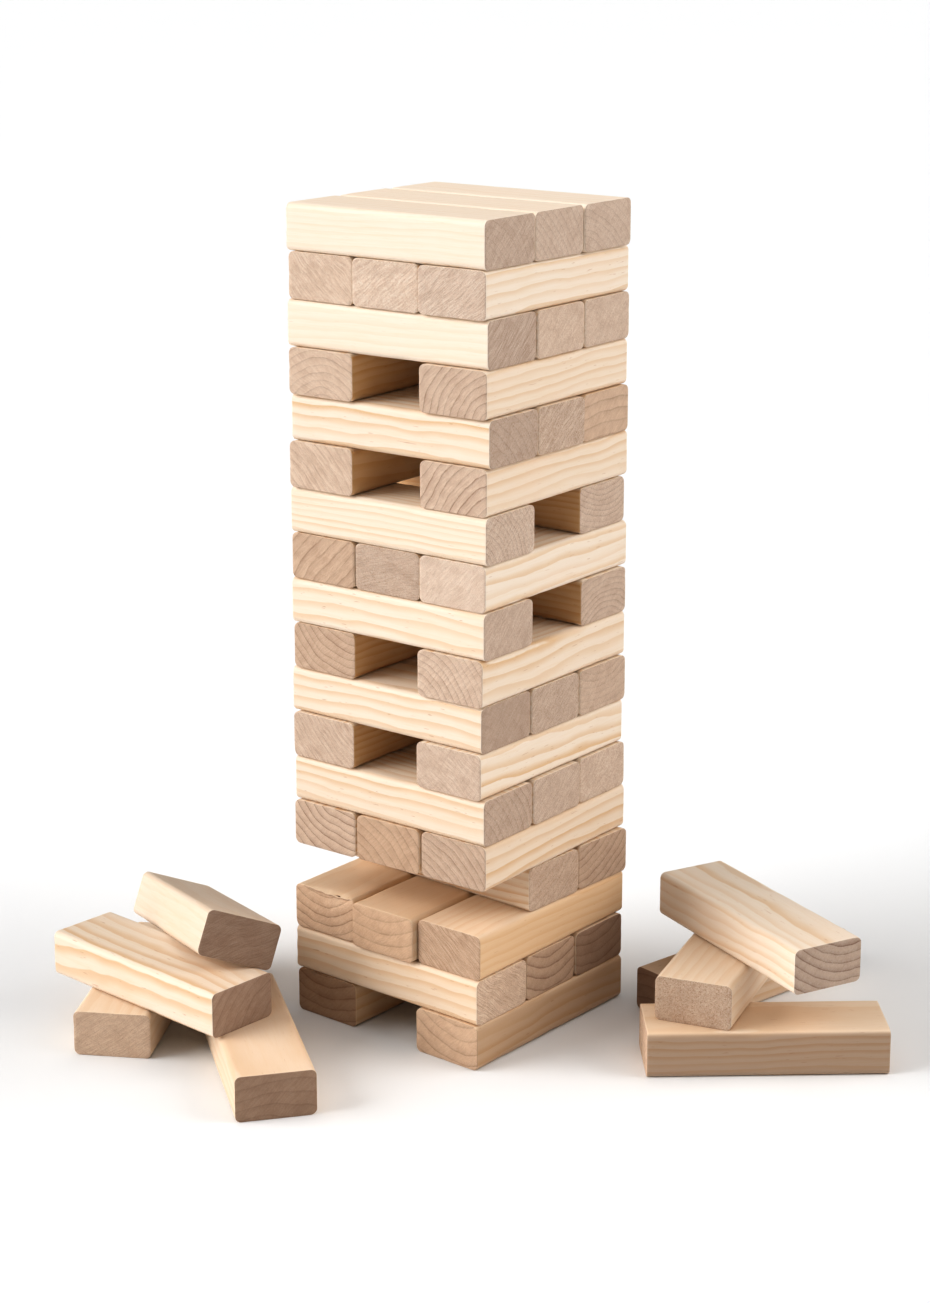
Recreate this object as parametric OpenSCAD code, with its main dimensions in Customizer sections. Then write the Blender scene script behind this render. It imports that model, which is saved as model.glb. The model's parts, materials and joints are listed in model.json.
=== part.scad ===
// Giant tumbling tower, part way through a game: eighteen crossed levels of wooden blocks,
// three to a level when full, with the blocks already pulled lying in two loose piles.
// Origin: centre of the tower's square foot on the ground, +Z up. Levels are counted from
// the ground. Odd levels run along Y, even levels along X.

/* [Block] */
// Length of every block
block_l = 180; // [150:1:210]
// Width of every block, just under a third of its length
block_w = 59.4; // [49:0.2:69]
// Thickness of every block, which is also the height of a level
block_h = 35; // [29:0.5:41]
// Radius planed along the four long edges
edge_r = 4.5; // [1:0.5:8]

/* [Tower] */
// Levels in the tower
levels = 18; // [6:1:18]
// Gap between blocks side by side in the neat upper levels
tight_gap = 0.5; // [0.3:0.1:1]
// Gap between blocks side by side in the loosened lower levels
loose_gap = 1.4; // [0.5:0.1:2]
// Highest level that has the wider gaps
loose_top = 6; // [1:1:8]
// Most that a block stands in or out along its own length
nudge = 1; // [0:0.1:2]
// Most that a whole level is shifted off the tower's axis
drift = 0.6; // [0:0.1:1.5]
// Air left between a block and the ones it rests on
rest_gap = 0.05; // [0.02:0.01:0.2]

/* [Piles] */
// Tilt of the block that leans over the edge of the left pile
lean = 23.3; // [22.5:0.1:24]
// How far that block is turned from the one it leans on
lean_turn = -27; // [-29:0.5:-25]

/* [Hidden] */
$fn = 32;
PALE_PINE = [0.93, 0.82, 0.64];
WARM_PINE = [0.84, 0.68, 0.49];
// Slots across a level: front, middle, back or left, middle, right
SLOTS = [-1, 0, 1];
// The gaps left by the blocks already pulled, as [level, slot]
PULLED = [[1, 0], [4, -1], [7, 0], [9, 0], [10, 0], [12, 0], [13, 0], [15, 0]];
// How far the levels are turned, as [level, degrees]
TURN = [[1, -2.2], [2, -2], [3, -1.5], [4, -3.6], [5, 0], [8, -0.6], [12, 0.5], [16, 1.3], [18, 0.2]];
// The middle block of level 3 has been tried by a player, and stands out to the front
function nudge_at(level, slot) =
    level == 3 && slot == 0 ? -4 * nudge : nudge * sin(137 * level + 71 * slot);
// Level 4 was also pushed back where its front block was pulled
function drift_at(level) =
    drift * [sin(83 * level), cos(131 * level)] + (level == 4 ? [0, 10 * drift] : [0, 0]);
function floor_of(level) = (level - 1) * (block_h + rest_gap);
function runs_along_x(level) = level % 2 == 0;
function is_pulled(level, slot) = len([for (p = PULLED) if (p == [level, slot]) p]) > 0;
function gap_at(level) = level > loose_top ? tight_gap : loose_gap;
function side_name(level, slot) =
    slot == 0 ? "middle" :
    runs_along_x(level) ? (slot < 0 ? "front" : "back") : (slot < 0 ? "left" : "right");
function two_digits(n) = n < 10 ? str("0", n) : str(n);
function block_name(level, slot) = str("level_", two_digits(level), "_", side_name(level, slot));

// Where the loose blocks lie: [centre x, centre y, direction of the length]
OUTER = [-190, -160, -61];
INNER = [-50, -186, -39];
ACROSS_LEFT = [-141, -190, -5];
FRONT = [245, 52, 39];
BACK = [164, 157, 78];
ACROSS_RIGHT = [188, 93, -75];
TOP = [214, 91, -24];

// The leaning block lies over the rounded back edge of the block below, its centre this far
// along that edge, and so far beyond it that its lowest corner just reaches the outer block
lean_along = -11;
edge_lift = edge_r * (1 - cos(lean) - sin(lean)) + rest_gap;
across_left_top = floor_of(2) + block_h;
down_along = abs(sin(lean_turn)) * sin(lean);
down_across = cos(lean_turn) * sin(lean);
lowest_corner = down_along * block_l / 2 + down_across * (block_w / 2 - edge_r)
    + cos(lean) * (block_h / 2 - edge_r)
    + edge_r * sqrt(down_across * down_across + cos(lean) * cos(lean));
lean_beyond = (across_left_top + (edge_lift + block_h / 2) * cos(lean) - lowest_corner
    - floor_of(2)) / sin(lean);

// Every block still in the tower, as [level, slot]
STACK = [for (level = [1:levels]) for (slot = SLOTS) if (!is_pulled(level, slot)) [level, slot]];
LEFT_PILE = ["left_pile_outer", "left_pile_inner", "left_pile_across", "left_pile_leaning"];
RIGHT_PILE = ["right_pile_front", "right_pile_back", "right_pile_across", "right_pile_top"];

// Cross-section of a block, standing on its lower face, with rounded corners
module profile() {
    inner_w = block_w - 2 * edge_r;
    translate([-block_w / 2, edge_r]) square([block_w, block_h - 2 * edge_r]);
    translate([-inner_w / 2, 0]) square([inner_w, block_h]);
    for (side = [-1, 1])
        for (up = [edge_r, block_h - edge_r])
            translate([side * inner_w / 2, up]) circle(r = edge_r);
}

// One block lying on its wide face, its length along X and centred on the origin
module block() {
    rotate([90, 0, 90]) translate([0, 0, -block_l / 2]) linear_extrude(block_l) profile();
}

// A block of the tower, in its level and slot; a quarter turn sends local +Y to -X
module tower_block(level, slot) {
    quarter_turn = runs_along_x(level) ? 0 : 90;
    across = slot * (block_w + gap_at(level)) * (runs_along_x(level) ? 1 : -1);
    color(level < loose_top ? WARM_PINE : PALE_PINE)
        translate(drift_at(level)) translate([0, 0, floor_of(level)])
            rotate(lookup(level, TURN) + quarter_turn)
                translate([nudge_at(level, slot), across, 0]) block();
}

// A loose block lying flat, on the ground or on the blocks of a lower level of its pile
module lying_block(place, level) {
    color(PALE_PINE)
        translate([place[0], place[1], floor_of(level)]) rotate(place[2]) block();
}

// The block that slid off the left pile and leans over its edge
module leaning_block() {
    color(PALE_PINE)
        translate([ACROSS_LEFT[0], ACROSS_LEFT[1], across_left_top])
            rotate(ACROSS_LEFT[2]) translate([0, block_w / 2, 0])
                rotate([-lean, 0, 0]) translate([lean_along, lean_beyond, edge_lift])
                    rotate(lean_turn) block();
}

for (b = STACK)
    tower_block(b[0], b[1]);
lying_block(OUTER, 1);  // left_pile_outer
lying_block(INNER, 1);  // left_pile_inner
lying_block(ACROSS_LEFT, 2);  // left_pile_across
leaning_block();  // left_pile_leaning
lying_block(FRONT, 1);  // right_pile_front
lying_block(BACK, 1);  // right_pile_back
lying_block(ACROSS_RIGHT, 2);  // right_pile_across
lying_block(TOP, 3);  // right_pile_top
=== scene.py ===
"""Giant tumbling tower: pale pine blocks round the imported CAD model."""
import json
import math

import bpy
import numpy as np
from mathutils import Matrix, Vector


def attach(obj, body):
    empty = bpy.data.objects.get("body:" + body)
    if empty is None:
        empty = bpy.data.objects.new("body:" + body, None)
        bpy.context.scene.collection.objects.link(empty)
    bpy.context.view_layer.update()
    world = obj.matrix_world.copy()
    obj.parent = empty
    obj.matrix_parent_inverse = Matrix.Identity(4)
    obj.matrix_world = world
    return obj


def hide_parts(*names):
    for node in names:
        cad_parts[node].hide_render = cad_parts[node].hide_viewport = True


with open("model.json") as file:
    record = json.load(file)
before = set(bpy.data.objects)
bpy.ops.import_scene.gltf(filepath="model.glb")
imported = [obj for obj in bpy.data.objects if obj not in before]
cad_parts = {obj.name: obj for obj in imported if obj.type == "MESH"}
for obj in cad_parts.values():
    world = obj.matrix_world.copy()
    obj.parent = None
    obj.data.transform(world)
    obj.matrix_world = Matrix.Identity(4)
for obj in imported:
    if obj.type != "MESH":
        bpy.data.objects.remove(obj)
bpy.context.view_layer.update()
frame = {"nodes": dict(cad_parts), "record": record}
nodes = frame["nodes"]
body_of_node = {
    node: body
    for body, members in frame["record"]["behaviour"]["bodies"].items()
    for node in members
}

MM = 0.001

# ---------------------------------------------------------------- camera, floor and light

CAMERA_AZIMUTH, CAMERA_ELEVATION = 37.22, 14.05
CAMERA_PLACE = (1.1824, -1.5507, 0.8550)
CAMERA_LENS = 73.6  # mm
CAMERA_SENSOR = 36.0  # mm
CAMERA_SHIFT = -0.078  # the picture is framed low on the tower
FAR = 1000.0  # m, how far the camera sees
LIGHT_DISTANCE = 4.0  # m; a sun lamp shines the same from anywhere
FLOOR_HALF, FLOOR_WHITE = 400.0, 0.815  # m, so that its edge is out of sight, and its albedo

WORLD, KEY, FILL, TOP = 0.06, 0.98, 0.64, 0.50  # strengths
CONTRAST = 1.3  # of the print: darks deepen and take on colour, whites stay


def add_camera():
    data = bpy.data.cameras.new("camera")
    data.lens, data.sensor_width, data.shift_y = CAMERA_LENS, CAMERA_SENSOR, CAMERA_SHIFT
    data.clip_end = FAR
    cam = bpy.data.objects.new("camera", data)
    bpy.context.scene.collection.objects.link(cam)
    a, e = math.radians(CAMERA_AZIMUTH), math.radians(CAMERA_ELEVATION)
    back = Vector((math.sin(a) * math.cos(e), -math.cos(a) * math.cos(e), math.sin(e)))
    cam.location = CAMERA_PLACE
    cam.rotation_mode = "QUATERNION"
    cam.rotation_quaternion = (-back).to_track_quat("-Z", "Y")
    bpy.context.scene.camera = cam


def add_soft_light(name, azimuth, elevation, spread, strength, color):
    """A softbox far away: azimuth and elevation say where it stands, spread how wide it looks."""
    data = bpy.data.lights.new(name, "SUN")
    data.angle, data.energy, data.color = math.radians(spread), strength * math.pi, color
    light = bpy.data.objects.new(name, data)
    bpy.context.scene.collection.objects.link(light)
    a, e = math.radians(azimuth), math.radians(elevation)
    to_light = Vector((math.sin(a) * math.cos(e), -math.cos(a) * math.cos(e), math.sin(e)))
    light.location = to_light * LIGHT_DISTANCE
    light.rotation_mode = "QUATERNION"
    light.rotation_quaternion = (-to_light).to_track_quat("-Z", "Y")


def add_world():
    """Faint light from all round, and plain white behind everything."""
    world = bpy.data.worlds.new("studio")
    world.use_nodes = True
    tree = world.node_tree
    faint = tree.nodes["Background"]
    faint.inputs["Strength"].default_value = WORLD
    white = tree.nodes.new("ShaderNodeBackground")
    for background in (faint, white):
        background.inputs["Color"].default_value = (1.0, 1.0, 1.0, 1.0)
    seen = tree.nodes.new("ShaderNodeLightPath").outputs["Is Camera Ray"]
    both = tree.nodes.new("ShaderNodeMixShader")
    tree.links.new(seen, both.inputs[0])
    tree.links.new(faint.outputs[0], both.inputs[1])
    tree.links.new(white.outputs[0], both.inputs[2])
    tree.links.new(both.outputs[0], tree.nodes["World Output"].inputs["Surface"])
    bpy.context.scene.world = world


def add_floor():
    half = FLOOR_HALF
    mesh = bpy.data.meshes.new("floor")
    mesh.from_pydata(
        [(-half, -half, 0), (half, -half, 0), (half, half, 0), (-half, half, 0)], [], [(0, 1, 2, 3)]
    )
    floor = bpy.data.objects.new("floor", mesh)
    bpy.context.scene.collection.objects.link(floor)
    material = bpy.data.materials.new("floor_white")
    material.use_nodes = True
    shader = material.node_tree.nodes["Principled BSDF"]
    shader.inputs["Base Color"].default_value = (FLOOR_WHITE, FLOOR_WHITE, FLOOR_WHITE, 1.0)
    shader.inputs["Roughness"].default_value = 0.9
    mesh.materials.append(material)


add_camera()
add_world()
add_floor()
add_soft_light("key", -42, 26, 46, KEY, (0.98, 0.99, 1.0))
add_soft_light("fill", 124, 27, 50, FILL, (1.0, 0.99, 0.98))
add_soft_light("top", 20, 85, 90, TOP, (1.0, 1.0, 1.0))
bpy.context.scene.view_settings.view_transform = "Standard"
bpy.context.scene.view_settings.gamma = 1 / CONTRAST

# ---------------------------------------------------------------- the pine material


def srgb(r, g, b):
    def linear(v):
        v /= 255.0
        return v / 12.92 if v <= 0.04045 else ((v + 0.055) / 1.055) ** 2.4

    return (linear(r), linear(g), linear(b), 1.0)


class Graph:
    """Short names for the shader nodes this file uses."""

    def __init__(self, material):
        self.tree = material.node_tree

    def node(self, kind, inputs=(), **settings):
        n = self.tree.nodes.new(kind)
        for key, value in settings.items():
            setattr(n, key, value)
        for key, value in dict(inputs).items():
            if isinstance(value, bpy.types.NodeSocket):
                self.tree.links.new(value, n.inputs[key])
            elif value is not None:
                n.inputs[key].default_value = value
        return n

    def attribute(self, name):
        return self.node("ShaderNodeAttribute", attribute_name=name)

    def math(self, operation, a, b=None):
        return self.node("ShaderNodeMath", {0: a, 1: b}, operation=operation).outputs[0]

    def smooth(self, value, low, high):
        """0 below low, 1 above high, smooth between; low may be above high."""
        n = self.node(
            "ShaderNodeMapRange",
            {0: value, 1: low, 2: high, 3: 0.0, 4: 1.0},
            interpolation_type="SMOOTHSTEP",
        )
        return n.outputs[0]

    def spread(self, value, low, high):
        """Stretches a 0 to 1 value to low to high."""
        return self.node("ShaderNodeMapRange", {0: value, 3: low, 4: high}).outputs[0]

    def scaled(self, vector, factors):
        return self.node(
            "ShaderNodeVectorMath", {0: vector, 1: factors}, operation="MULTIPLY"
        ).outputs[0]

    def shifted(self, vector, other):
        return self.node("ShaderNodeVectorMath", {0: vector, 1: other}, operation="ADD").outputs[0]

    def noise(self, vector, detail, roughness):
        n = self.node(
            "ShaderNodeTexNoise",
            {"Vector": vector, "Scale": 1.0, "Detail": detail, "Roughness": roughness},
        )
        return n.outputs[0]

    def mix(self, factor, a, b, blend="MIX"):
        n = self.node(
            "ShaderNodeMix", {0: factor, 6: a, 7: b}, data_type="RGBA", blend_type=blend
        )
        return n.outputs[2]


HALF_LENGTH = 90.0  # mm, of a block
RING_PITCH = 4.6  # mm in a log's coordinates, which are scaled so that all logs have it
EARLY = srgb(238, 224, 208)
LATE = srgb(219, 180, 131)
FIBRE = srgb(232, 211, 182)
RESIN = srgb(182, 128, 82)
BLUSH = srgb(241, 218, 196)
END = srgb(229, 207, 188)
END_LINE = srgb(158, 124, 104)
END_DARK = srgb(185, 153, 131)
END_PALE = srgb(244, 234, 221)
END_SHADE = srgb(150, 124, 106)
ARRIS_WEAR_AND_HIGHLIGHT = srgb(250, 240, 226)
WARM = srgb(236, 200, 144)
DARK = srgb(128, 90, 62)

def make_pine():
    """One material for every block. It reads, from each block's mesh:
    log    place in the log the block was sawn from, mm: x along the grain, y and z from the pith
    blk    place in the block, mm: x along its length, y across, z up
    tone   warmth, darkness, strength of the stripes and how dark its ends are, about 0 to 1; the warmth, darkness and end darkness hold painted shade as well as the wood's own tone
    cut    how strongly rings, saw marks and torn fibre tips show on its ends
    own    two numbers that make each block's noise its own, and the direction of its saw marks
    """
    material = bpy.data.materials.new("pine")
    material.use_nodes = True
    g = Graph(material)
    shader = material.node_tree.nodes["Principled BSDF"]

    log = g.attribute("log").outputs["Vector"]
    blk = g.attribute("blk").outputs["Vector"]
    tone = g.attribute("tone").outputs
    end_dark = tone["Alpha"]
    tone = g.node("ShaderNodeSeparateColor", {0: tone["Color"]}).outputs
    cut = g.node("ShaderNodeSeparateXYZ", {0: g.attribute("cut").outputs["Vector"]}).outputs
    own = g.attribute("own").outputs["Vector"]
    warmth, darkness, contrast = tone[0], tone[1], tone[2]
    log_xyz = g.node("ShaderNodeSeparateXYZ", {0: log}).outputs
    blk_xyz = g.node("ShaderNodeSeparateXYZ", {0: blk}).outputs
    own_xyz = g.node("ShaderNodeSeparateXYZ", {0: own}).outputs
    own_place = g.scaled(own, (37.0, 53.0, 11.0))

    # growth rings: distance from the pith, pushed about by slow noise along the trunk
    slow = g.noise(g.shifted(g.scaled(log, (0.011, 0.035, 0.035)), own_place), 2.0, 0.5)
    quick = g.noise(g.shifted(g.scaled(log, (0.05, 0.16, 0.16)), own_place), 2.0, 0.55)
    radius = g.math(
        "SQRT",
        g.math("ADD", g.math("MULTIPLY", log_xyz[1], log_xyz[1]),
               g.math("MULTIPLY", log_xyz[2], log_xyz[2])),
    )
    radius = g.math("ADD", radius, g.math("MULTIPLY", g.math("SUBTRACT", slow, 0.5), 7.0))
    radius = g.math("ADD", radius, g.math("MULTIPLY", g.math("SUBTRACT", quick, 0.5), 0.9))
    phase = g.math("DIVIDE", radius, RING_PITCH)
    part = g.math("FRACT", phase)
    ring = g.math("FLOOR", phase)
    ring_rand = g.node(
        "ShaderNodeTexWhiteNoise",
        {"W": g.math("ADD", ring, g.math("MULTIPLY", own_xyz[0], 91.0))},
        noise_dimensions="1D",
    ).outputs["Value"]
    late = g.math("MULTIPLY", g.smooth(part, 0.30, 0.90), g.smooth(part, 1.0, 0.93))
    late = g.math("MULTIPLY", late, g.spread(ring_rand, 0.35, 1.0))
    line = g.math("MULTIPLY", g.smooth(part, 0.78, 0.92), g.smooth(part, 1.0, 0.95))
    line = g.math("MULTIPLY", line, g.spread(ring_rand, 0.5, 1.0))

    # fibres
    fibre = g.noise(g.shifted(g.scaled(log, (0.03, 0.9, 0.9)), own_place), 4.0, 0.6)
    fine = g.noise(g.shifted(g.scaled(log, (0.12, 4.5, 4.5)), own_place), 2.0, 0.6)
    dash = g.noise(g.shifted(g.scaled(log, (0.10, 1.3, 1.3)), own_place), 1.0, 0.5)
    dash = g.smooth(dash, 0.72, 0.77)
    blotch = g.noise(g.shifted(g.scaled(blk, (0.012, 0.02, 0.02)), own_place), 3.0, 0.5)

    # planed faces along the grain
    stripe = g.math("MULTIPLY", late, contrast)
    side = g.mix(stripe, EARLY, LATE)
    side = g.mix(g.math("MULTIPLY", g.smooth(fibre, 0.42, 0.78), 0.38), side, FIBRE)
    side = g.mix(g.math("MULTIPLY", g.smooth(fine, 0.50, 0.80), 0.20), side, FIBRE)
    side = g.mix(g.math("MULTIPLY", g.math("MULTIPLY", dash, contrast), 0.6), side, RESIN)
    side = g.mix(g.math("MULTIPLY", g.smooth(blotch, 0.45, 0.75), 0.22), side, BLUSH)

    # sawn ends: rings as thin dark lines, saw marks across them and torn fibre tips
    turn = g.math("MULTIPLY", own_xyz[2], math.pi)
    sawn = g.math(
        "ADD",
        g.math("MULTIPLY", blk_xyz[1], g.math("COSINE", turn)),
        g.math("MULTIPLY", blk_xyz[2], g.math("SINE", turn)),
    )
    wobble = g.noise(g.shifted(g.scaled(blk, (0.0, 0.05, 0.05)), own_place), 1.0, 0.5)
    sawn = g.math("ADD", sawn, g.math("MULTIPLY", wobble, 6.0))
    beside = g.math(
        "SUBTRACT",
        g.math("MULTIPLY", blk_xyz[2], g.math("COSINE", turn)),
        g.math("MULTIPLY", blk_xyz[1], g.math("SINE", turn)),
    )
    sawn = g.math("MULTIPLY", sawn, 1.7)
    beside = g.math("MULTIPLY", beside, 0.07)
    saw = g.noise(
        g.node("ShaderNodeCombineXYZ", {0: sawn, 1: beside, 2: own_xyz[1]}).outputs[0], 2.0, 0.7
    )
    scratch = g.smooth(saw, 0.56, 0.66)
    saw = g.smooth(saw, 0.52, 0.38)
    tips = g.noise(g.shifted(g.scaled(blk, (0.3, 0.95, 0.95)), own_place), 4.0, 0.75)
    pits = g.smooth(tips, 0.46, 0.36)
    tips = g.smooth(tips, 0.48, 0.62)
    mottle = g.noise(g.shifted(g.scaled(blk, (0.0, 0.09, 0.12)), own_place), 3.0, 0.6)
    rings, hatch, speckle = cut[0], cut[1], cut[2]
    patchy = g.smooth(mottle, 0.36, 0.62)
    ring_line = g.math("MULTIPLY", g.math("MULTIPLY", line, rings), g.spread(patchy, 0.45, 0.85))
    end = g.mix(g.math("MULTIPLY", g.math("MULTIPLY", late, rings), 0.35), END, END_LINE)
    end = g.mix(ring_line, end, END_LINE)
    end = g.mix(g.math("MULTIPLY", g.math("MULTIPLY", saw, hatch), 0.55), end, END_DARK)
    end = g.mix(g.math("MULTIPLY", g.math("MULTIPLY", scratch, hatch), 0.60), end, END_PALE)
    end = g.mix(g.math("MULTIPLY", g.math("MULTIPLY", pits, speckle), 0.55), end, END_DARK)
    end = g.mix(g.math("MULTIPLY", g.math("MULTIPLY", tips, speckle), 0.60), end, END_PALE)
    end = g.mix(g.math("MULTIPLY", g.smooth(mottle, 0.40, 0.70), 0.22), end, END_DARK)
    # ends darkened block by block: partly the end grain's own tone, partly painted shade
    end = g.mix(end_dark, end, END_SHADE, "MULTIPLY")

    from_end = g.math("SUBTRACT", HALF_LENGTH, g.math("ABSOLUTE", blk_xyz[0]))
    is_end = g.smooth(from_end, 0.55, 0.10)
    # a pale band round each sawn end's edge: partly worn wood, partly a painted highlight
    arris_wear_and_highlight = g.math("MULTIPLY", g.smooth(from_end, 1.1, 0.6), g.smooth(from_end, 0.05, 0.35))
    color = g.mix(is_end, side, end)
    color = g.mix(g.math("MULTIPLY", arris_wear_and_highlight, 0.4), color, ARRIS_WEAR_AND_HIGHLIGHT)
    # warmth and darkness: the wood's own tone, with painted shade on the lowest levels and on the
    # listed sides
    color = g.mix(g.math("MULTIPLY", warmth, 0.75), color, WARM, "MULTIPLY")
    color = g.mix(darkness, color, DARK, "MULTIPLY")
    g.tree.links.new(color, shader.inputs["Base Color"])

    # sheen of planed wood against the dry sawn ends
    rough = g.math("ADD", g.spread(fibre, 0.46, 0.62), g.math("MULTIPLY", is_end, 0.22))
    g.tree.links.new(rough, shader.inputs["Roughness"])
    shader.inputs["Specular IOR Level"].default_value = 0.35

    # relief, mm: hard latewood stands up from planed faces and from the sawn ends
    side_relief = g.math("ADD", g.math("MULTIPLY", stripe, 0.05), g.math("MULTIPLY", fine, 0.05))
    side_relief = g.math("ADD", side_relief, g.math("MULTIPLY", fibre, 0.06))
    end_relief = g.math("ADD", g.math("MULTIPLY", saw, 0.14), g.math("MULTIPLY", tips, 0.14))
    end_relief = g.math("ADD", end_relief, g.math("MULTIPLY", ring_line, 0.12))
    relief = g.node("ShaderNodeMix", {0: is_end, 2: side_relief, 3: end_relief}, data_type="FLOAT")
    bump = g.node(
        "ShaderNodeBump",
        {"Height": relief.outputs[0], "Distance": MM, "Strength": 0.9},
    )
    g.tree.links.new(bump.outputs["Normal"], shader.inputs["Normal"])
    return material


pine = make_pine()

# ---------------------------------------------------------------- blocks

EDGE_R = 4.5  # mm, of the four long edges
TOWARD_VIEWER = np.array([0.6, -0.8, 0.0])  # a block's near end is the one on this side


def placement(node):
    """Centre and length, width and thickness axes of a CAD block, read off its own vertices."""
    mesh = nodes[node].data
    co = np.empty(len(mesh.vertices) * 3)
    mesh.vertices.foreach_get("co", co)
    co = co.reshape(-1, 3)
    corners = np.unique(np.round(co, 7), axis=0)
    _, _, axes = np.linalg.svd(corners - corners.mean(0), full_matrices=False)
    spans = [(corners @ a).min() + (corners @ a).max() for a in axes]
    centre = sum(a * s / 2 for a, s in zip(axes, spans))
    along, _, up = axes
    if along @ TOWARD_VIEWER < 0:
        along = -along
    if up[2] < 0:
        up = -up
    across = np.cross(up, along)
    size = [np.ptp(corners @ a) / MM for a in (along, across, up)]
    return centre, np.stack([along, across, up]), size


def outline(width, height, r):
    """Rounded rectangle as (y, z, normal y, normal z), anticlockwise seen from the +x end."""
    points = []
    wide, narrow, arc = 16, 9, 7  # steps along the wide sides, the narrow ones and each corner
    corners = [(1, -1, -90), (1, 1, 0), (-1, 1, 90), (-1, -1, 180)]
    for index, (sy, sz, start) in enumerate(corners):
        cy, cz = sy * (width / 2 - r), sz * (height / 2 - r)
        for step in range(arc + 1):
            a = math.radians(start + 90 * step / arc)
            points.append((cy + r * math.cos(a), cz + r * math.sin(a), math.cos(a), math.sin(a)))
        ny, nz = corners[(index + 1) % 4][:2]
        ey, ez = ny * (width / 2 - r), nz * (height / 2 - r)
        a = math.radians(start + 90)
        count = narrow if index % 2 == 0 else wide
        y0, z0 = points[-1][:2]
        y1, z1 = ey + r * math.cos(a), ez + r * math.sin(a)
        for step in range(1, count):
            t = step / count
            points.append((y0 + (y1 - y0) * t, z0 + (z1 - z0) * t, math.cos(a), math.sin(a)))
    return np.array(points)


NEAR_END = [0.0, 0.18, 0.6, 1.4, 2.6, 4.4, 7.0, 10.5, 15.0]  # mm in from each end
MIDDLE = 38  # rings from the last of those to the other end's
INSET = [0.42, 0.13]  # how far the first rings stand in, which rounds the end's edge
CAP_RINGS = [0.93, 0.8, 0.6, 0.35]  # the sawn end's rings of faces, as shares of its outline


def block_mesh(size, rng, chips):
    """Vertices in mm about the block's centre, as planed and as knocked about, and its faces."""
    length, width, height = size
    ring = outline(width, height, EDGE_R)
    count = len(ring)
    near = [length / 2 - d for d in NEAR_END]
    middle = np.linspace(near[-1], -near[-1], MIDDLE)[1:-1]
    stations = near + list(middle) + [-x for x in reversed(near)]
    verts, normals = [], []
    for i, x in enumerate(stations):
        k = min(i, len(stations) - 1 - i)
        inset = INSET[k] if k < len(INSET) else 0.0
        for y, z, ny, nz in ring:
            verts.append((x, y - ny * inset, z - nz * inset))
            normals.append((0.0, ny, nz))
    faces = []
    rows = len(stations)
    for i in range(rows - 1):
        for j in range(count):
            a, b = i * count + j, i * count + (j + 1) % count
            faces.append((a, b, b + count, a + count))
    for last, sign in ((0, 1), (rows - 1, -1)):
        start = last * count
        x = stations[last]
        previous = start
        for t in CAP_RINGS:
            new = len(verts)
            for j in range(count):
                _, y, z = verts[start + j]
                verts.append((x, y * t, z * t))
                normals.append((float(sign), 0.0, 0.0))
            for j in range(count):
                a, b = previous + j, previous + (j + 1) % count
                c, d = new + j, new + (j + 1) % count
                faces.append((a, c, d, b) if sign > 0 else (a, b, d, c))
            previous = new
        centre = len(verts)
        verts.append((x, 0.0, 0.0))
        normals.append((float(sign), 0.0, 0.0))
        for j in range(count):
            a, b = previous + j, previous + (j + 1) % count
            faces.append((a, centre, b) if sign > 0 else (a, b, centre))
    verts, normals = np.array(verts), np.array(normals)
    moved = verts.copy()
    hl, hw, hh = length / 2, width / 2, height / 2
    dents = list(chips)
    for _ in range(int(rng.integers(5, 10))):  # knocks along the four long edges
        sy, sz = rng.choice([-1, 1], 2)
        dents.append((rng.uniform(-hl, hl), sy * (hw - 1), sz * (hh - 1),
                      rng.uniform(3, 8), rng.uniform(2, 4), rng.uniform(0.15, 0.5)))
    for _ in range(int(rng.integers(3, 7))):  # nicks round the ends
        sx = rng.choice([-1, 1])
        if rng.random() < 0.6:
            y, z = rng.uniform(-hw, hw), rng.choice([-1, 1]) * hh
        else:
            y, z = rng.choice([-1, 1]) * hw, rng.uniform(-hh, hh)
        dents.append((sx * hl, y, z, rng.uniform(1.0, 3), rng.uniform(1.5, 4),
                      rng.uniform(0.15, 0.45)))
    inward = -verts / np.linalg.norm(verts, axis=1)[:, None]
    inward = inward * 0.3 - normals * 0.7
    for x, y, z, reach_x, reach_r, depth in dents:
        d = (verts - np.array([x, y, z])) / np.array([reach_x, reach_r, reach_r])
        weight = np.exp(-(d ** 2).sum(1))
        moved += inward * (weight * depth)[:, None]
    moved = np.clip(moved, [-hl, -hw, -hh], [hl, hw, hh])
    return verts, moved, faces


def add_attribute(mesh, name, kind, values):
    layer = mesh.attributes.new(name, kind, "POINT")
    key = "color" if kind == "FLOAT_COLOR" else "vector"
    layer.data.foreach_set(key, np.ascontiguousarray(values, np.float32).ravel())


TONES = ["warm", "dark", "stripes", "end_dark"]


def default_tone(node, rng):
    """The lowest levels are painted warmest and darkest, as shade near the floor."""
    level = int(node[6:8]) if node.startswith("level_") else 6
    low = max(0.0, (6 - level) / 5)
    return (0.10 + 0.42 * low + rng.uniform(-0.06, 0.06), 0.02 + 0.10 * low + rng.uniform(0, 0.04),
            rng.uniform(0.5, 0.85), rng.uniform(0.0, 0.25))


def look(pith, pitch, cut, saw=0.75, chips=(), **tone):
    """pith: where the log's heart lies on the near end, mm right and up of its centre;
    pitch: mm from ring to ring; cut: rings, saw marks and fibre tips; saw: the direction of
    the saw marks, in half turns; chips: dents, as in TORN; tone: any of TONES."""
    return {"pith": pith, "pitch": pitch, "cut": cut, "saw": saw, "chips": chips, "tone": tone}


# The torn upper edge of one sawn end, as dents: place, reach along and round, depth
TORN = [
    (90, 1, 17, 4, 5, 3.0),
    (90, 12, 17, 5, 5, 3.4),
    (90, 21, 16, 3, 4, 2.2),
    (90, -9, 17, 2.5, 4, 1.8),
]
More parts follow.
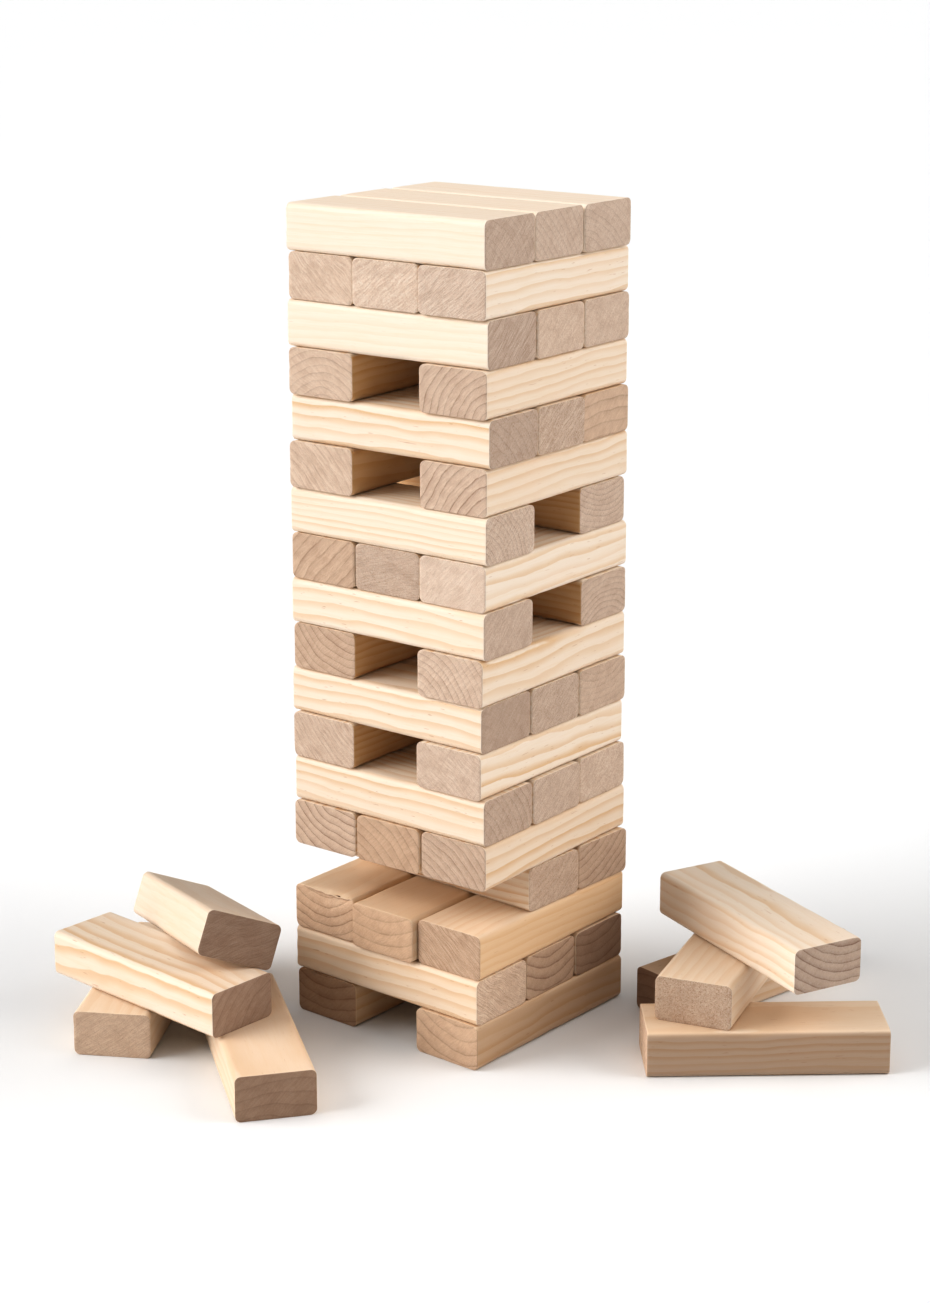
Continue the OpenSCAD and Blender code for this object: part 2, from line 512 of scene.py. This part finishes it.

# Painted shade: sides painted warmer and darker than the light alone makes them, most of them sides
# that show down a slot: 1 for the right or -1 for the left side seen from the near end, then that
# side's warmth and darkness
SHADE_FROM, SHADE_FADE = 27.5, 1.5  # mm out from the middle, and over how far it sets in
PAINTED_SHADE_SIDES = {
    "level_15_left": (1, 1.1, 0.04),
    "level_13_left": (1, 1.1, 0.08),
    "level_12_back": (-1, 1.05, 0.14),
    "level_10_back": (-1, 1.05, 0.2),
    "level_09_left": (1, 1.1, 0.12),
    "level_07_left": (1, 1.1, 0.14),
    "level_03_right": (1, 0.8, 0.02),
    "level_01_left": (1, 0.8, 0.1),
    "level_01_right": (1, 0.7, 0.35),
    "right_pile_front": (1, 0.4, 0.5),
}

# The blocks one by one, after the photograph
# warmth, darkness and how dark the ends are: partly each block's own tone, partly painted shade
LOOKS = {
    "level_18_front": look(
        (-48, -40), 4.5, (0.30, 0.5, 0.7), warm=0.0, stripes=0.18, end_dark=0.25,
    ),
    "level_18_middle": look(
        (-75, -60), 5.0, (0.35, 0.4, 0.6), end_dark=0.15, warm=0.0, stripes=0.2,
    ),
    "level_18_back": look((-55, -75), 5.0, (0.35, 0.4, 0.6), end_dark=0.15, warm=0.0, stripes=0.2),
    "level_17_left": look((90, 80), 5.0, (0.15, 0.7, 0.6), saw=0.27, end_dark=0.0),
    "level_17_middle": look((70, -80), 4.6, (0.15, 0.7, 0.9), saw=0.72, end_dark=0.0),
    "level_17_right": look((95, -70), 5.4, (0.25, 0.8, 0.7), saw=0.70, stripes=0.7, warm=0.0),
    "level_16_front": look(
        (-60, 70), 6.0, (0.10, 0.9, 0.5), saw=0.75, warm=0.0, stripes=0.2, end_dark=0.3,
    ),
    "level_16_middle": look((-90, -60), 5.0, (0.12, 0.4, 0.6), end_dark=0.05),
    "level_16_back": look((-60, -90), 5.0, (0.12, 0.4, 0.6), end_dark=0.1),
    "level_15_left": look((4, -34), 5.2, (0.50, 0.4, 0.5), saw=0.3, end_dark=0.0),
    "level_15_right": look((42, -30), 6.2, (0.8, 0.3, 0.4), warm=0.15, stripes=0.55, end_dark=0.1),
    "level_14_front": look(
        (-58, -52), 7.0, (0.35, 0.4, 0.7), warm=0.05, stripes=0.85, end_dark=0.3,
    ),
    "level_14_middle": look((-90, 80), 5.0, (0.10, 1.0, 0.9), saw=0.72, end_dark=0.2),
    "level_14_back": look((10, -150), 9.0, (0.5, 0.3, 0.3), warm=0.35, end_dark=0.05),
    "level_13_left": look((-80, -70), 6.0, (0.35, 0.5, 0.5), saw=0.25, end_dark=0.0),
    "level_13_right": look((85, -80), 6.5, (0.9, 0.3, 0.3), warm=0.15, stripes=0.5, end_dark=0.05),
    "level_12_front": look((-50, -34), 4.2, (0.6, 0.8, 0.8), warm=0.05, stripes=0.5, end_dark=0.1),
    "level_12_back": look((8, 62), 4.0, (0.6, 0.4, 0.7), end_dark=0.15),
    "level_11_left": look((95, -90), 8.0, (0.6, 0.3, 0.3), warm=0.35, end_dark=0.1),
    "level_11_middle": look((60, 80), 5.0, (0.18, 0.5, 0.9), saw=0.6, end_dark=0.25),
    "level_11_right": look((-70, 90), 6.0, (0.08, 0.3, 0.5), warm=0.0, stripes=0.65, end_dark=0.0),
    "level_10_front": look(
        (-62, -48), 7.5, (0.10, 0.5, 0.6), warm=0.05, stripes=0.85, end_dark=0.2,
    ),
    "level_10_back": look((4, -48), 4.4, (0.55, 0.4, 0.7), end_dark=0.15),
    "level_09_left": look((30, 48), 6.0, (0.75, 0.3, 0.4), warm=0.3, end_dark=0.15),
    "level_09_right": look((-34, -32), 5.4, (0.60, 0.4, 0.5), stripes=0.75, end_dark=0.05),
    "level_08_front": look(
        (-70, -90), 8.0, (0.12, 0.4, 0.5), warm=0.05, stripes=0.65, end_dark=0.35, dark=0.06,
    ),
    "level_08_middle": look((-80, 60), 5.0, (0.15, 0.8, 0.9), saw=0.72, end_dark=0.2),
    "level_08_back": look((0, 70), 5.5, (0.35, 0.4, 0.6), end_dark=0.15),
    "level_07_left": look((70, 60), 4.4, (0.5, 0.6, 0.6), saw=0.27, end_dark=0.1),
    "level_07_right": look((-80, 60), 5.0, (0.2, 0.6, 0.6), saw=0.3, stripes=0.8, end_dark=0.1),
    "level_06_front": look(
        (-70, -46), 6.0, (0.5, 0.4, 0.7), warm=0.1, stripes=0.8, end_dark=0.25, dark=0.05,
    ),
    "level_06_middle": look((60, 80), 5.0, (0.12, 0.7, 0.9), saw=0.72, end_dark=0.15),
    "level_06_back": look((-60, 80), 5.0, (0.12, 0.6, 0.9), saw=0.72, end_dark=0.05),
    "level_05_left": look((30, 55), 6.8, (1.0, 0.2, 0.4), end_dark=0.05),
    "level_05_middle": look((-85, -90), 7.5, (0.6, 0.2, 0.3), warm=0.45, end_dark=0.1),
    "level_05_right": look((-44, -62), 6.0, (0.6, 0.4, 0.5), saw=0.25, stripes=0.7, end_dark=0.15),
    "level_04_middle": look((-60, 90), 6.0, (0.3, 0.5, 0.9), end_dark=0.15),
    "level_04_back": look((-34, 58), 6.0, (0.9, 0.2, 0.5), end_dark=0.2),
    "level_03_left": look(
        (-6, 52), 7.5, (0.8, 0.2, 0.4), chips=TORN, warm=0.5, end_dark=0.0, stripes=0.35, dark=0.0,
    ),
    "level_03_middle": look(
        (-4, 66), 9.5, (0.4, 0.2, 0.3), warm=0.55, end_dark=0.0, stripes=0.3, dark=0.0,
    ),
    "level_03_right": look(
        (80, 90), 6.0, (0.25, 0.9, 0.5), saw=0.28, warm=0.42, stripes=0.35, end_dark=0.2, dark=0.0,
    ),
    "level_02_front": look(
        (-70, -70), 7.0, (0.10, 1.0, 0.7), saw=0.3, warm=0.3, dark=0.0, stripes=0.6, end_dark=0.0,
    ),
    "level_02_middle": look((4, 64), 8.0, (1.0, 0.2, 0.4), end_dark=0.15),
    "level_02_back": look((-10, 60), 8.0, (0.7, 0.2, 0.3), end_dark=0.5),
    "level_01_left": look((0, 60), 9.0, (0.7, 0.2, 0.3), warm=0.6, end_dark=0.3),
    "level_01_right": look(
        (6, 56), 9.0, (0.6, 0.2, 0.3), warm=0.5, dark=0.0, stripes=0.6, end_dark=0.0,
    ),
    "left_pile_outer": look(
        (-60, -70), 6.0, (0.15, 0.6, 0.6), warm=0.35, end_dark=0.0, saw=0.7, stripes=0.3,
    ),
    "left_pile_inner": look(
        (0, -130), 9.0, (0.35, 0.3, 0.4), warm=0.35, stripes=0.3, end_dark=0.55, dark=0.05,
    ),
    "left_pile_across": look(
        (78, -72), 8.0, (0.4, 0.4, 0.3), saw=0.72, warm=0.12, stripes=0.7, end_dark=0.55,
    ),
    "left_pile_leaning": look(
        (-30, 110), 8.0, (0.2, 0.6, 0.3),
        saw=0.7, stripes=0.15, end_dark=0.55, warm=0.15, dark=0.12,
    ),
    "right_pile_front": look(
        (14, -130), 6.0, (0.2, 0.5, 0.5), warm=0.35, dark=0.0, stripes=0.6, end_dark=0.0,
    ),
    "right_pile_back": look((0, -140), 9.0, (0.6, 0.2, 0.2), warm=0.4, dark=0.2, end_dark=0.65),
    "right_pile_across": look(
        (90, -60), 7.0, (0.05, 0.2, 1.6), warm=0.3, stripes=0.35, end_dark=0.25,
    ),
    "right_pile_top": look((24, 66), 6.8, (1.4, 0.15, 0.4), warm=0.0, stripes=0.65, end_dark=0.25),
}

SEED = 1000


def build_block(node, index):
    """Stands in for one CAD block. What LOOKS doesn't give is drawn at random, always in the
    same order, so that the draws don't depend on what is given."""
    rng = np.random.default_rng(SEED + index)
    centre, axes, size = placement(node)
    given = LOOKS.get(node, {})
    planed, verts, faces = block_mesh(size, rng, given.get("chips", ()))
    mesh = bpy.data.meshes.new("block_" + node)
    place = verts * MM @ axes + centre
    mesh.from_pydata(place.tolist(), [], faces)
    mesh.polygons.foreach_set("use_smooth", np.ones(len(mesh.polygons), bool))

    angle = rng.uniform(0, 2 * math.pi)
    distance = rng.uniform(35, 110)
    pith = (distance * math.cos(angle), distance * math.sin(angle))
    pith = given.get("pith", pith)
    slope = (rng.uniform(-0.035, 0.035), rng.uniform(-0.02, 0.02))
    scale = RING_PITCH / given.get("pitch", rng.uniform(4.2, 7.0))
    log = verts.copy()
    log[:, 1] = verts[:, 1] - pith[0] + slope[0] * verts[:, 0]
    log[:, 2] = verts[:, 2] - pith[1] + slope[1] * verts[:, 0]
    log[:, 1:] *= scale
    own = [rng.random(), rng.random(), rng.choice([0.25, 0.75]) + rng.uniform(-0.08, 0.08)]
    own[2] = given.get("saw", own[2])
    cut = given.get("cut", (rng.uniform(0.1, 0.5), rng.uniform(0.3, 0.9), rng.uniform(0.3, 0.9)))
    tone = dict(zip(TONES, default_tone(node, rng)))
    tone.update(given.get("tone", {}))
    count = (len(verts), 1)
    tones = np.tile([tone[t] for t in TONES], count)
    # painted shade: the listed side is blended towards its warmer, darker tone
    if node in PAINTED_SHADE_SIDES:
        side, warm, dark = PAINTED_SHADE_SIDES[node]
        shade_amount = np.clip((planed[:, 1] * side - SHADE_FROM) / SHADE_FADE, 0, 1)
        shade_amount *= abs(planed[:, 0]) < HALF_LENGTH - 0.1
        tones[:, 0] += shade_amount * (warm - tones[:, 0])
        tones[:, 1] += shade_amount * (dark - tones[:, 1])
    add_attribute(mesh, "log", "FLOAT_VECTOR", log)
    add_attribute(mesh, "blk", "FLOAT_VECTOR", planed)
    add_attribute(mesh, "own", "FLOAT_VECTOR", np.tile(own, count))
    add_attribute(mesh, "cut", "FLOAT_VECTOR", np.tile(cut, count))
    add_attribute(mesh, "tone", "FLOAT_COLOR", tones)
    mesh.materials.append(pine)

    block = bpy.data.objects.new("block_" + node, mesh)
    bpy.context.scene.collection.objects.link(block)
    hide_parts(node)
    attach(block, body_of_node[node])


for index, node in enumerate(sorted(nodes)):
    build_block(node, index)
